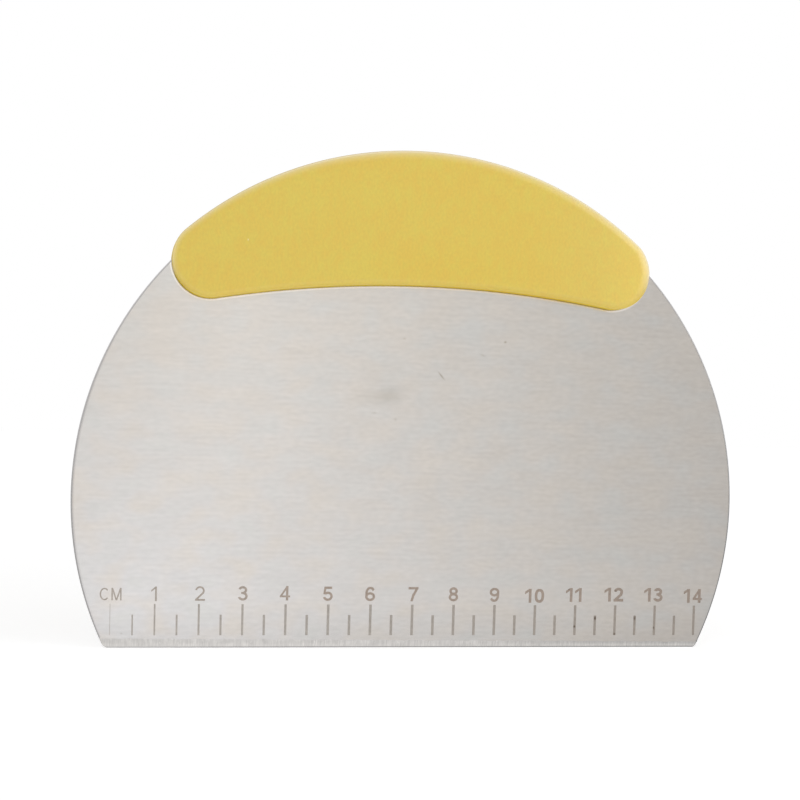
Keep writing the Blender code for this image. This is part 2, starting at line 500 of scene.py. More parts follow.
@dataclass(frozen=True)
class Crescent:
    """The handle's outline, seen from the disc's centre: a top arc, a hollow lower arc and two round ends.

    Each round end touches both arcs, so its centre lies at known distances from theirs.
    """

    overhang: float = 2.9 * MM
    height: float = 31.72 * MM
    lower_radius: float = 265.6 * MM
    end_radius: float = 8.9 * MM
    shift: Pair = (-0.3 * MM, -0.4 * MM)
    turn: float = math.radians(0.58)

    @property
    def top(self) -> float:
        """The top arc's radius about the disc's centre."""
        return DISC_RADIUS + self.overhang

    @property
    def lower(self) -> float:
        """The height of the lower arc's centre."""
        return self.top - self.height - self.lower_radius

    @property
    def end(self) -> Pair:
        """The centre of the right end's rounding.

        Returns:
            Its place, seen from the disc's centre.
        """
        from_top, from_lower = self.top - self.end_radius, self.lower_radius + self.end_radius
        rise = (from_top**2 + self.lower**2 - from_lower**2) / (2 * self.lower)
        return math.sqrt(from_top**2 - rise**2), rise

    def seat(self, x: Array, z: Array) -> tuple[Array, Array]:
        """Turns places seen from the disc's centre about it and sets them on the blade."""
        cosine, sine = math.cos(self.turn), math.sin(self.turn)
        return x * cosine - z * sine + self.shift[0], x * sine + z * cosine + self.shift[1] + DISC_HEIGHT

    def clearance(self, graph: Graph) -> Socket:
        """How far a place of the blade lies below the handle or beside its ends.

        It is the lower arc's radius less the distance from its centre, and past the point where the arc
        touches an end, the distance from the end's centre less its radius. Both ends are alike.

        Args:
            graph: the material's graph.

        Returns:
            The distance.
        """
        centre = (self.shift[0], 0.0, self.shift[1] + DISC_HEIGHT)
        x, _, z = graph.parts(graph.place(centre=centre, turn=-self.turn))
        x = graph.size(x)
        below = graph.math("SUBTRACT", self.lower_radius, graph.distance(x, z, (0.0, self.lower)))
        beside = graph.math("SUBTRACT", graph.distance(x, z, self.end), self.end_radius)
        touch = self.end[0] * self.lower_radius / (self.lower_radius + self.end_radius)
        past = graph.math("GREATER_THAN", x, touch)
        return graph.plus(below, graph.times(past, graph.math("SUBTRACT", beside, below)))


@dataclass(frozen=True)
class BrushedSteel:
    """Stainless sheet with a fine horizontal brushing, faint clouds and a few blemishes.

    The painted highlight is a bright line along the handle's lower side. It starts, is brightest and ends at
    the three distances of its reach.
    """

    low_left: Triple = linear(205, 203, 203)
    low_right: Triple = linear(206, 201, 196)
    to_right: Ramp = Ramp(Axis.ACROSS, (-60, 40))
    high: Triple = linear(206, 201, 195)
    to_top: Ramp = Ramp(Axis.UP, (10, 75))
    tint: Layer = Layer((9, 9, 6), detail=1)
    warm: Triple = linear(208, 201, 193)
    warm_share: Change = ((0.3, 0.55), (0.7, 0.0))
    green: Triple = linear(203, 202, 199)
    green_share: Change = ((0.5, 0.75), (0.0, 0.7))
    grain: Layer = Layer((1.7, 9, 0.75), ((0.2, 0.8), (0.97, 1.03)), 0)
    streak: Layer = Layer((8, 9, 0.8), ((0.2, 0.8), (0.981, 1.019)), 0)
    cloud: Layer = Layer((12, 9, 5), ((0.25, 0.75), (0.98, 1.02)))
    roughness: Change = ((0.25, 0.75), (0.15, 0.19))
    relief: float = 0.0006 * MM
    anisotropy: float = 0.6
    # painted shade: the steel darker towards the scraping edge
    low_shade: Ramp = Ramp(Axis.UP, (1.6, 9.8), (0.915, 1.0))
    # painted shade: the steel darker towards the upper left
    left_shade: Ramp = Ramp(Axis.UP, (15, 75), (0.0, 0.075))
    left_reach: Ramp = Ramp(Axis.ACROSS, (-35, -68))
    # painted shade: a darker band along the left rim, weaker towards the bottom corner
    rim_shade: float = 0.83
    rim_band: Pair = (78.25 * MM, 78.8 * MM)
    rim_reach: Ramp = Ramp(Axis.ACROSS, (-66, -77), smooth=True)
    rim_rise: Ramp = Ramp(Axis.UP, (8, 26), (0.2, 1.0))
    handle: Crescent = Crescent()
    # painted highlight: a bright line on the steel along the handle's lower side
    hem_reach: Triple = (0.02 * MM, 0.22 * MM, 0.65 * MM)
    hem_light: float = 0.42
    soil: Triple = (0.6, 0.57, 0.5)
    soil_share: float = 0.45
    soil_rough: float = 0.05
    spots: Spots = Spots(
        -BLADE_HALF,
        (
            (-6.2, 59.4, 4.4, 3.0, 0.42),
            (-9.6, 58.4, 9.5, 3.4, 0.3),
            (-6.5, 62.5, 12.0, 8.0, 0.1),
            (21.3, 72.8, 0.55, 0.45, 1.6),
            (-3.2, 72.8, 0.6, 0.35, 0.8),
            (5.9, 64.3, 1.9, 0.3, 1.8, 0.86),
            (15.8, 69.5, 1.1, 0.4, 0.7, 0.4),
            (-9.9, 55.1, 0.9, 0.4, 0.6),
            (-4.9, 53.7, 0.5, 0.5, 0.7),
            (-67.0, 3.3, 0.4, 0.3, 0.8),
        ),
    )

    def material(self) -> Material:
        """Mixes the finish.

        Returns:
            The finished material.
        """
        graph = Finish("brushed_stainless")
        low = graph.blend(self.to_right.on(graph), self.low_left, self.low_right)
        colour = graph.blend(self.to_top.on(graph), low, self.high)
        tint = self.tint.noise(graph)
        colour = graph.blend(graph.remap(tint, *self.warm_share), colour, self.warm)
        colour = graph.blend(graph.remap(tint, *self.green_share), colour, self.green)
        grain, grained = self.grain.on(graph)
        clouded = (self.streak.on(graph)[1], self.cloud.on(graph)[1])
        # painted shade at the upper left
        left = graph.rest(graph.ramps(self.left_shade, self.left_reach))
        # painted shade along the left rim and towards the scraping edge, and a painted highlight under the
        # handle
        edges = (self._rim(graph), self._hem(graph), self.low_shade.on(graph), left)
        colour = graph.toned(colour, graph.times(grained, *clouded, *edges))
        dirt = self.spots.share(graph)
        colour = graph.blend(graph.times(dirt, self.soil_share), colour, self.soil, "MULTIPLY")
        rough = graph.plus(graph.remap(grain, *self.roughness), graph.times(dirt, self.soil_rough))
        tangent = graph.add("Tangent", direction_type="UV_MAP", uv_map=GRAIN_MAP).outputs[0]
        more = {"Roughness": rough, "Anisotropic": self.anisotropy, "Tangent": tangent}
        return graph.metal(colour, grain, self.roughness, self.relief, **more)

    def _hem(self, graph: Graph) -> Socket:
        """A painted highlight: a bright line along the handle's lower side, a little off the joint.

        Args:
            graph: the material's graph.

        Returns:
            The factor on the colour, 1 away from the line.
        """
        clear = self.handle.clearance(graph)
        start, middle, end = self.hem_reach
        rise = graph.remap(clear, (start, middle), (0.0, self.hem_light))
        return graph.plus(1.0, graph.times(rise, graph.soft(clear, (middle, end), (1.0, 0.0))))

    def _rim(self, graph: Graph) -> Socket:
        """Painted shade: a darker band along the sheet's left rim.

        Args:
            graph: the material's graph.

        Returns:
            The factor on the colour: the band's own shade at the rim, 1 a millimetre inside it.
        """
        close = graph.soft(graph.from_disc(), self.rim_band)
        band = graph.times(close, graph.ramps(self.rim_reach, self.rim_rise))
        return graph.remap(band, (0.0, 1.0), (1.0, self.rim_shade))


@dataclass(frozen=True)
class GroundSteel:
    """The facet left by the grinder: a little duller, with upright scratches and bright nicks.

    Painted shade darkens it by its crease, most so at the right, where it is narrowest, and a little at the
    left.
    """

    colour: Triple = linear(203, 200, 197)
    scratch: Layer = Layer((0.26, 1.2, 2.8), ((0.2, 0.8), (0.8, 1.18)), finer=0.6)
    chatter: Layer = Layer((1.9, 1.2, 1.1), ((0.3, 0.7), (0.94, 1.06)))
    nick: Layer = Layer((0.5, 1.2, 0.9), ((0.7, 0.8), (0.0, 0.2)), 1)
    # painted light: the facet brighter towards the right
    to_right: Ramp = Ramp(Axis.ACROSS, (-70, 70), (0.94, 1.17))
    # painted shade by the crease, at the right
    crease_shade: Ramp = Ramp(Axis.UP, (0.6, 1.25), (0.0, 0.2))
    crease_reach: Ramp = Ramp(Axis.ACROSS, (10, 45))
    # painted shade by the crease, at the left, over the reach below
    dull_shade: Ramp = Ramp(Axis.UP, (0.7, 1.2), (0.0, 0.06))
    dull_reach: Ramp = Ramp(Axis.ACROSS, (-8, -30))
    roughness: Change = ((0.25, 0.75), (0.29, 0.42))
    relief: float = 0.006 * MM

    def material(self) -> Material:
        """Mixes the finish.

        Returns:
            The finished material.
        """
        graph = Finish("ground_edge")
        scratch, scratched = self.scratch.on(graph)
        tone = graph.plus(graph.times(scratched, self.chatter.on(graph)[1]), self.nick.on(graph)[1])
        crease = graph.rest(graph.ramps(self.crease_shade, self.crease_reach))
        # painted shade by the crease at the left
        dull = graph.rest(graph.ramps(self.dull_shade, self.dull_reach))
        # painted light towards the right, with the painted crease shade
        tone = graph.times(tone, self.to_right.on(graph), crease, dull)
        return graph.metal(graph.toned(self.colour, tone), scratch, self.roughness, self.relief)


@dataclass(frozen=True)
class SheetEdge:
    """The punched rim of the sheet: darker, most so at the right, with fine lines through the thickness;
    painted light lightens it at the left, most where it faces the front.
    """

    colour: Triple = linear(140, 138, 138)
    line: Layer = Layer((0.35, 2.0, 0.35), ((0.25, 0.75), (0.88, 1.1)), finer=0.6)
    # painted light: how much lighter the rim is at the left where it faces the front
    left_light: float = 1.4
    to_left: Ramp = Ramp(Axis.ACROSS, (-45, -60))
    facing: Change = ((0.8, 0.98), (0.93, 1.1))
    roughness: Change = ((0.25, 0.75), (0.36, 0.52))
    relief: float = 0.004 * MM

    def material(self) -> Material:
        """Mixes the finish.

        Returns:
            The finished material.
        """
        graph = Finish("sheet_edge")
        line, lined = self.line.on(graph)
        facing = graph.remap(graph.size(graph.split("Normal")[1]), *self.facing)
        # painted light on the rim at the left, more where it faces the front
        light = graph.math("SUBTRACT", graph.times(facing, self.left_light), 1.0)
        tone = graph.times(lined, graph.plus(1.0, graph.times(self.to_left.on(graph), light)))
        return graph.metal(graph.toned(self.colour, tone), line, self.roughness, self.relief)


@dataclass(frozen=True)
class LaserMark:
    """An annealed marking of the scale: a brown-grey film on the steel, a little blotchy, with a few burns.

    It is greyer at its first end and browner at its last. The ends are in mm along the scale.
    """

    name: str
    first: Triple
    last: Triple
    ends: Pair
    burns: tuple[tuple[float, ...], ...]
    burnt: Triple = (0.3, 0.24, 0.2)
    blotch: Layer = Layer((0.45, 0.5, 0.9), ((0.35, 0.7), (1.12, 0.87)), 3, 0.6)
    roughness: Change = ((0.3, 0.7), (0.3, 0.4))
    relief: float = 0.002 * MM

    def material(self) -> Material:
        """Mixes the finish.

        Returns:
            The finished material.
        """
        graph = Finish(self.name)
        blotch, blotched = self.blotch.on(graph)
        browner = Ramp(Axis.ACROSS, self.ends).on(graph)
        colour = graph.toned(graph.blend(browner, self.first, self.last), blotched)
        burnt = Spots(-BLADE_HALF, self.burns).whole(graph)
        colour = graph.blend(burnt, colour, self.burnt, "MULTIPLY")
        return graph.metal(colour, blotch, self.roughness, self.relief)


@dataclass(frozen=True)
class MouldedPlastic:
    """Opaque yellow polypropylene with the fine matt texture of a spark-eroded mould.

    A reach by the blade is two pairs in mm: depths from the blade's middle plane, and ways past its rim.
    The facing of a wall or an edge is its normal's share along Y, and its rise the share along Z.
    """

    colour: Triple = linear(220, 187, 63)
    pale: Triple = linear(215, 191, 67)
    pale_from: Pair = (0.38, 0.62)
    erosion: Layer = Layer((0.5, 0.5, 0.8), ((0.2, 0.8), (0.95, 1.05)), 1)
    mottle: Layer = Layer((1.5, 1.5, 2.4), ((0.25, 0.75), (0.985, 1.015)))
    cloud: Layer = Layer((17, 8, 11), ((0.3, 0.7), (0.992, 1.008)))
    # painted light: faces that look down are made lighter
    underside: Change = ((-0.7, -0.98), (1.0, 1.25))
    fleck: Triple = linear(244, 236, 200)
    flecks: Spots = Spots(-HANDLE_HALF, ((-41.0, 93.9, 0.24, 0.36, 0.6),))
    # painted sheen: the handle paler towards the right
    fade: Triple = linear(250, 246, 230)
    fade_share: Ramp = Ramp(Axis.ACROSS, (20, 52), (0.0, 0.022), True)
    # painted light: the handle lighter towards its right end
    right_light: Ramp = Ramp(Axis.ACROSS, (40, 56), (1.0, 1.08), True)
    amber: Triple = (1.0, 0.985, 0.86)
    amber_patch: Spot = Spot(4, 89, 34, 9, 1.0)
    # painted sheen: the pale colour on the rounded edges
    rubbed: Triple = linear(222, 212, 190)
    wear: Change = ((1.0, 0.45), (0.0, 0.41))
    left_wear: Change = ((-0.7, -0.2), (0.45, 1.0))
    wall_wear: Change = ((0.0, 0.5), (0.08, 1.0))
    seam_wear: Pair = (0.5 * MM, 1.2 * MM)
    # painted shade: the wall along the top and the ends a little greyer
    dusty: Triple = linear(205, 198, 188)
    dust: float = 0.22
    wall_facing: Pair = (0.5, 0.3)
    upper_rise: Pair = (-0.55, -0.1)
    # painted shade: the colour the wall darkens to by the blade
    joint: Triple = (0.42, 0.32, 0.42)
    joint_reach: Change = ((0.6, 1.5), (0.2, 0.6))
    dull_reach: Change = ((3.0, 4.4), (-5.0, 2.0))
    roughness: Change = ((0.3, 0.7), (0.36, 0.46))
    gloss: Pair = (0.5, 0.02)
    coat: Pair = (1.0, 0.0)
    coat_roughness: float = 0.4
    refraction: float = 1.49
    relief: float = 0.008 * MM

    def material(self) -> Material:
        """Mixes the finish.

        Returns:
            The finished material.
        """
        graph = Finish("yellow_polypropylene")
        erosion, eroded = self.erosion.on(graph)
        mottle, mottled = self.mottle.on(graph)
        cloud, clouded = self.cloud.on(graph)
        mixed = graph.times(graph.plus(mottle, cloud), 0.5)
        colour = graph.blend(graph.remap(mixed, self.pale_from), self.colour, self.pale)
        # painted light on the faces that look down
        under = graph.remap(graph.split("Normal")[2], *self.underside)
        colour = graph.toned(colour, graph.times(eroded, mottled, clouded, under))
        colour = graph.blend(self.flecks.whole(graph), colour, self.fleck)
        # painted sheen towards the right
        colour = graph.blend(self.fade_share.on(graph), colour, self.fade)
        # painted light towards the right end
        colour = graph.toned(colour, self.right_light.on(graph))
        colour = graph.blend(self.amber_patch.share(graph, -HANDLE_HALF), colour, self.amber, "MULTIPLY")
        # painted sheen on the rounded edges
        colour = graph.blend(self._wear(graph), colour, self.rubbed)
        wall = self._wall(graph)
        # painted shade on the wall along the top and the ends
        colour = graph.blend(graph.times(wall, self.dust), colour, self.dusty)
        # painted shade in the joint with the blade
        joint = self._by_blade(graph, *self.joint_reach)
        dull = graph.math("MAXIMUM", wall, self._by_blade(graph, *self.dull_reach))
        fine = graph.bump(erosion, self.relief)
        return graph.done(
            {
                # painted shade in the joint with the blade
                "Base Color": graph.blend(joint, colour, self.joint, "MULTIPLY"),
                "Roughness": graph.math("MAXIMUM", graph.remap(erosion, *self.roughness), dull),
                "Specular IOR Level": graph.remap(dull, (0.0, 1.0), self.gloss),
                "Coat Weight": graph.remap(dull, (0.0, 1.0), self.coat),
                "Normal": graph.bump(mottle, self.relief, Normal=fine),
                "IOR": self.refraction,
                "Coat Roughness": self.coat_roughness,
            }
        )

    def _by_blade(self, graph: Graph, depths: Pair, ends: Pair) -> Socket:
        """How close a place is to the joint with the blade, which is dull and darkened by painted shade.

        Args:
            graph: the material's graph.
            depths: how far in mm from the blade's middle plane the share starts to fall, and where it ends.
            ends: how far in mm past the blade's rim it starts to fall, and where it ends.

        Returns:
            1 on the wall by the blade, 0 on the faces and past the blade's rim.
        """
        rim = (DISC_RADIUS + ends[0] * MM, DISC_RADIUS + ends[1] * MM)
        over = graph.soft(graph.from_disc(), rim, (1.0, 0.0))
        wall = (depths[0] * MM, depths[1] * MM)
        return graph.times(over, graph.soft(graph.size(graph.split()[1]), wall, (1.0, 0.0)))

    def _wear(self, graph: Graph) -> Socket:
        """Painted sheen on the rounded edges: palest where an edge is half way between the face and the top
        or an end.

        Args:
            graph: the material's graph.

        Returns:
            The share of the pale colour.
        """
        x, y, z = graph.split("Normal")
        facing = graph.size(y)
        facing_sheen = graph.times(graph.remap(facing, *self.wear), graph.remap(x, *self.left_wear))
        seam = graph.remap(graph.size(graph.split()[1]), self.seam_wear)
        return graph.times(facing_sheen, graph.soft(facing, *self.wall_wear), seam, graph.soft(z, self.upper_rise))

    def _wall(self, graph: Graph) -> Socket:
        """1 on the dull wall along the top and the ends, which painted shade makes greyer, 0 on the face and
        most of the round.
        """
        _, y, z = graph.split("Normal")
        return graph.times(graph.soft(graph.size(y), self.wall_facing), graph.soft(z, self.upper_rise))


@dataclass
class Blade:
    """The sheet: a disc cut off straight, with rounded rims and one ground facet along its scraping edge.

    Its points are counted for the right corner, the disc, the left corner and the straight edge. Each wave
    of the crease is a length and a height in mm and a phase. The calm ends are how far from a corner the
    crease is still, and over which length it calms down.
    """

    steel: Material
    ground: Material
    edge: Material
    left_corner: float = 1.6 * MM
    right_corner: float = 0.9 * MM
    rim_reach: float = 0.42 * MM
    rim_round: float = 0.3 * MM
    rim_steps: int = 10
    rim_margin: float = 0.2 * MM
    facet_left: float = 2.2 * MM
    facet_right: float = 1.3 * MM
    facet_lean: float = math.radians(15)
    facet_margin: float = 0.2 * MM
    facet_facing: Pair = (-0.99, -0.9)
    flat_facing: float = 0.995
    sharp: float = math.radians(13)
    land: float = 0.15 * MM
    half_edge: float = math.sqrt(DISC_RADIUS**2 - DISC_HEIGHT**2)
    waves: tuple[Triple, ...] = ((7.3, 0.06, 0.4), (3.1, 0.05, 1.9), (1.7, 0.03, 3.3))
    calm_ends: Pair = (2 * MM, 3 * MM)
    points: tuple[int, ...] = (8, 420, 12, 360)
    middle: Pair = (0.0, 1.3 * DISC_HEIGHT)
    shares_inwards: tuple[float, ...] = (0.12, 0.35, 0.6, 0.8, 0.94, 1.0)

    def outline(self, inset: Array) -> Array:
        """The outline moved inwards: the disc's and the corners' radii shrink and the straight edge rises.

        Args:
            inset: how far each copy is moved inwards.

        Returns:
            Points of shape (copies, n, 2), counter-clockwise from the right end of the scraping edge.
        """
        inset = inset[:, None]
        right, left = self._corner(1, self.right_corner), self._corner(-1, self.left_corner)
        disc = (0.0, DISC_HEIGHT)
        from_right = math.atan2(right[1] - disc[1], right[0])
        to_left = math.atan2(left[1] - disc[1], left[0]) + FULL_TURN
        straight = np.linspace(left[0], right[0], self.points[3], endpoint=False)
        turned = (
            arc(right, self.right_corner - inset, -QUARTER, from_right, self.points[0]),
            arc(disc, DISC_RADIUS - inset, from_right, to_left, self.points[1]),
            arc(left, self.left_corner - inset, to_left, 3 * QUARTER, self.points[2]),
        )
        return np.concatenate((*turned, np.stack(np.broadcast_arrays(straight, inset), -1)), -2)

    def _corner(self, side: int, radius: float) -> Pair:
        """The centre of a bottom corner's rounding: it touches the scraping edge and the disc."""
        return side * math.sqrt((DISC_RADIUS - radius) ** 2 - (DISC_HEIGHT - radius) ** 2), radius

    def facet_width(self, x: Array) -> Array:
        """The facet's width along the edge: it runs straight from its left width to its right one."""
        share = (x + self.half_edge) / (2 * self.half_edge)
        return self.facet_left + (self.facet_right - self.facet_left) * share

    def waviness(self, x: Array) -> Array:
        """How far the crease strays upwards from its straight line at places along the edge.

        It is a sum of sines that dies away at the two corners.

        Args:
            x: the places.

        Returns:
            Heights above the straight line.
        """
        stray = sum(high * np.sin(FULL_TURN * x / (long * MM) + phase) for long, high, phase in self.waves)
        still, calm = self.calm_ends
        return stray * np.clip((self.half_edge - still - np.abs(x)) / calm, 0, 1) * MM

    def build(self) -> Piece:
        """Makes the closed sheet.

        Half of its section runs from the middle of a face out to the rim: shares of the way out on the flat,
        then a quarter ellipse whose inset is a - a cos t and whose depth is b - b sin t from the face.

        Returns:
            The blade, with its facet cut.
        """
        turn = np.linspace(QUARTER, 0, self.rim_steps + 1)
        rim_depth = BLADE_HALF - self.rim_round * (1 - np.sin(turn))
        rim = self.outline(self.rim_reach * (1 - np.cos(turn)))
        support = self.outline(np.array([self.rim_reach + self.rim_margin]))
        shares = np.array(self.shares_inwards)[:, None, None]
        half = np.concatenate((self.middle + (support - self.middle) * shares, rim))
        depth = np.concatenate((np.full(len(shares), BLADE_HALF), rim_depth))
        rings = np.concatenate((half, half[::-1]))
        deep = np.broadcast_to(np.concatenate((-depth, depth[::-1]))[:, None], rings.shape[:2])
        around = rings.shape[1]
        points = np.stack((rings[..., 0], deep, rings[..., 1]), -1).reshape(-1, 3)
        poles = [(self.middle[0], y, self.middle[1]) for y in (-BLADE_HALF, BLADE_HALF)]
        i = np.arange(around)
        near = np.stack((np.full(around, len(points)), i, (i + 1) % around), -1)
        far = near + (1, (len(rings) - 1) * around, (len(rings) - 1) * around)
        faces = listed(ring_quads(len(rings), around), near, far)
        blade = new_piece("blade_sheet", np.concatenate((points, poles)), faces)
        self._grind(blade.data)
        return blade

    def _grind(self, mesh: bpy.types.Mesh) -> None:
        """Grinds the front's lower edge back.

        A crease is cut along the facet's straight top line and its points stray by the waviness. Below it
        each front point goes back to the facet, which is as deep as the tangent of its lean says, or to the
        land, a steep narrow strip that falls back as far as it is high, whichever lies deeper. None passes
        the start of the rounding at the back.

        Args:
            mesh: the sheet's mesh.
        """
        ends = np.array((-DISC_RADIUS, DISC_RADIUS))
        left, right = (Vector((x, 0, z)) for x, z in zip(ends, self.facet_width(ends)))
        upright = (right - left).cross(Vector((0, 1, 0)))
        with opened(mesh) as work:
            front = [face for face in work.faces if face.calc_center_median().y < 0]
            cut = list({item for face in front for item in (face, *face.edges)})
            bmesh.ops.bisect_plane(work, geom=cut, dist=1e-7, plane_co=left, plane_no=upright)
        points = triples(mesh.vertices, "co")
        x, y, z = points.T
        top = self.facet_width(x)
        crease = (y < 0) & (np.abs(z - top) < TOUCH)
        z[crease] += self.waviness(x[crease])
        ground = (y < 0) & (z < top + TOUCH) | crease
        top = top + self.waviness(x)
        tangent = math.tan(self.facet_lean)
        facet = (top - z) * tangent - BLADE_HALF
        land = top * tangent + self.land - z - BLADE_HALF
        y[ground] = np.minimum(np.maximum.reduce((y, facet, land)), BLADE_HALF - self.rim_round)[ground]
        y[crease] = -BLADE_HALF
        mesh.vertices.foreach_set("co", points.astype(np.float32).ravel())
        mesh.update()

    def dress(self, blade: Piece) -> None:
        """Gives the faces, the facet and the rim their finishes, in place of the CAD blade.

        Args:
            blade: the sheet.
        """
        mesh = blade.data
        map_flat(mesh)
        facing = triples(mesh.polygons, "normal")[:, 1]
        x, _, z = triples(mesh.polygons, "center").T
        low = z < self.facet_width(x) + self.facet_margin
        facet = (facing > self.facet_facing[0]) & (facing < self.facet_facing[1]) & low
        rim = (np.abs(facing) < self.flat_facing) & ~facet
        for finish in (self.steel, self.ground, self.edge):
            mesh.materials.append(finish)
        mesh.polygons.foreach_set("material_index", np.where(facet, 1, np.where(rim, 2, 0)).astype(np.int32))
        mesh.set_sharp_from_angle(angle=self.sharp)
        settle(blade, "steel", "blade")


@dataclass
class HandleHalf:
    """One moulded half: a crescent with a drafted wall, rounded to a flat face.

    The changes are the shares of the way along the right end and the top where the named rounds lie.
    """

    plastic: Material
    face: Face
    shape: Crescent = Crescent()
    lower_round: float = 1.3 * MM
    upper_round: float = 2.8 * MM
    left_round: float = 1.7 * MM
    right_round: float = 3.4 * MM
    right_changes: tuple[float, ...] = (0, 0.6, 0.85, 1)
    upper_changes: tuple[float, ...] = (0, 0.6, 1)
    draft: float = math.radians(1)
    seam: float = 0.02 * MM
    seam_round: float = 0.16 * MM
    seam_steps: int = 4
    round_steps: int = 14
    face_margin: float = 0.25 * MM
    arc_points: int = 240
    end_points: int = 40
    rows: int = 10

    def crescent(self, inset: Array) -> Array:
        """The crescent moved inwards: its top arc and round ends shrink and its hollow lower arc grows.

        Args:
            inset: how far each point of each copy is moved inwards, of shape (copies, n).

        Returns:
            Points of shape (copies, n, 2): lower edge left to right, right end, top, left end.
        """
        end, lower, radius = self.shape.end, self.shape.lower, self.shape.end_radius
        long, short = self.arc_points, self.end_points
        low, high = math.atan2(end[1] - lower, end[0]), math.atan2(end[1], end[0])
        below, right, above, left = np.split(inset, np.cumsum((long, short, long)), axis=1)
        sides = (
            arc((0, lower), self.shape.lower_radius + below, 2 * QUARTER - low, low, long),
            arc(end, radius - right, low - 2 * QUARTER, high, short),
            arc((0, 0), self.shape.top - above, high, 2 * QUARTER - high, long),
            arc((-end[0], end[1]), radius - left, 2 * QUARTER - high, 4 * QUARTER - low, short),
        )
        return np.concatenate(sides, -2)

    def edge_rounds(self) -> Array:
        """The edge's rounding at each point of the outline: small below, larger above and at the right end.

        Returns:
            Radii in the outline's order, with even changes between the named ones.
        """
        low, high, side = self.lower_round, self.upper_round, self.right_round
        end, long = np.linspace(0, 1, self.end_points), np.linspace(0, 1, self.arc_points)
        right = np.interp(end, self.right_changes, (low, side, side, high))
        above = np.interp(long, self.upper_changes, (high, high, self.left_round))
        left = np.interp(end, (0, 1), (self.left_round, low))
        return np.concatenate((np.full(self.arc_points, low), right, above, left))

    def section(self) -> tuple[Array, Array]:
        """The wall's section: a small round at the seam, the drafted wall, a quarter round and a flat rim.

        The quarter round has inset c - r cos a and depth d + r sin a about its centre (c, d).

        Returns:
            Insets and depths from the blade's middle plane, of shape (steps, n), from the seam to the face.
        """
        radius = self.edge_rounds()[None, :]
        start = np.linspace(0, QUARTER, self.seam_steps + 1)[:-1, None] + 0 * radius
        seam_inset = self.seam_round * (1 - np.sin(start))
        seam_depth = self.seam + self.seam_round * (1 - np.cos(start))
        depth = HANDLE_HALF - radius
        inset = radius + depth * math.tan(self.draft)
        turn = np.linspace(0, QUARTER, self.round_steps + 1)[:, None]
        insets = np.concatenate((seam_inset, inset - radius * np.cos(turn), inset + self.face_margin))
        return insets, np.concatenate((seam_depth, depth + radius * np.sin(turn), depth + radius))

    def build(self) -> Piece:
        """Makes the closed half: rings from the seam to the face, the face's grid and a flat lid at the seam.

        Returns:
            The half, set on the blade.
        """
        inset, depth = self.section()
        rings = self.crescent(inset)
        copies, count = rings.shape[:2]
        points = np.stack((rings[..., 0], depth, rings[..., 1]), -1).reshape(-1, 3)
        blocks = [ring_quads(copies, count)]
        for ring in (copies - 1, 0):
            inner, *lid = self._lid(rings[ring], ring * count, len(points), float(depth[ring, 0]))
            points = np.concatenate((points, inner))
            blocks += lid
        across, up = self.shape.seat(points[:, 0], points[:, 2])
        points = np.stack((across, points[:, 1] * self.face.value, up), -1)
        return new_piece(f"handle_{self.face.name.lower()}_moulding", points, listed(*blocks))

    def _lid(self, ring: Array, start: int, first_new: int, y: float) -> tuple[Array, Array, Array]:
        """Fills a crescent: row k lies k / rows of the way from its lower chain to its upper chain of points.

        Args:
            ring: the crescent's outline, of shape (n, 2).
            start: index of its first point in the mesh.
            first_new: index that the first new point will have.
            y: the lid's depth.

        Returns:
            The new points, the quads, and the triangles at the two tips.
        """
        half_end = self.end_points // 2
        chain = np.arange(self.arc_points + 2 * half_end + 1)
        lower = (chain - half_end) % len(ring)
        upper = (lower[0] - chain) % len(ring)
        share = (np.arange(1, self.rows) / self.rows)[:, None, None]
        inner = ring[lower[1:-1]] * (1 - share) + ring[upper[1:-1]] * share
        fresh = first_new + np.arange(inner.size // 2).reshape(inner.shape[:2])
        grid = np.concatenate((start + lower[None, 1:-1], fresh, start + upper[None, 1:-1]))
        quads = np.stack((grid[:-1, :-1], grid[:-1, 1:], grid[1:, 1:], grid[1:, :-1]), -1).reshape(-1, 4)
        left = np.stack((np.full(self.rows, start + lower[0]), grid[:-1, 0], grid[1:, 0]), -1)
        right = np.stack((np.full(self.rows, start + lower[-1]), grid[1:, -1], grid[:-1, -1]), -1)
        flat = inner.reshape(-1, 2)
        new = np.stack((flat[:, 0], np.full(len(flat), y), flat[:, 1]), -1)
        return new, quads, np.concatenate((left, right))

    def dress(self, half: Piece) -> None:
        """Gives the half its plastic, in place of its CAD shell."""
        half.data.materials.append(self.plastic)
        settle(half, "handle_plastic", f"handle_{self.face.name.lower()}_shell")


@dataclass(frozen=True)
class Bar:
    """A straight stroke with square ends."""

    start: Pair
    end: Pair
    width: float

    def field(self, x: Array, z: Array) -> Array:
        """How far outside the stroke a place is: the larger of its excess along and across the stroke.

        Args:
            x: places across.
            z: places up.

        Returns:
            Distances, negative inside the stroke.
        """
        run = np.subtract(self.end, self.start)
        length = float(np.hypot(*run))
        x, z = x - self.start[0], z - self.start[1]
        along, across = (x * run[0] + z * run[1]) / length, (z * run[0] - x * run[1]) / length
        return np.maximum(np.abs(along - length / 2) - length / 2, np.abs(across) - self.width / 2)


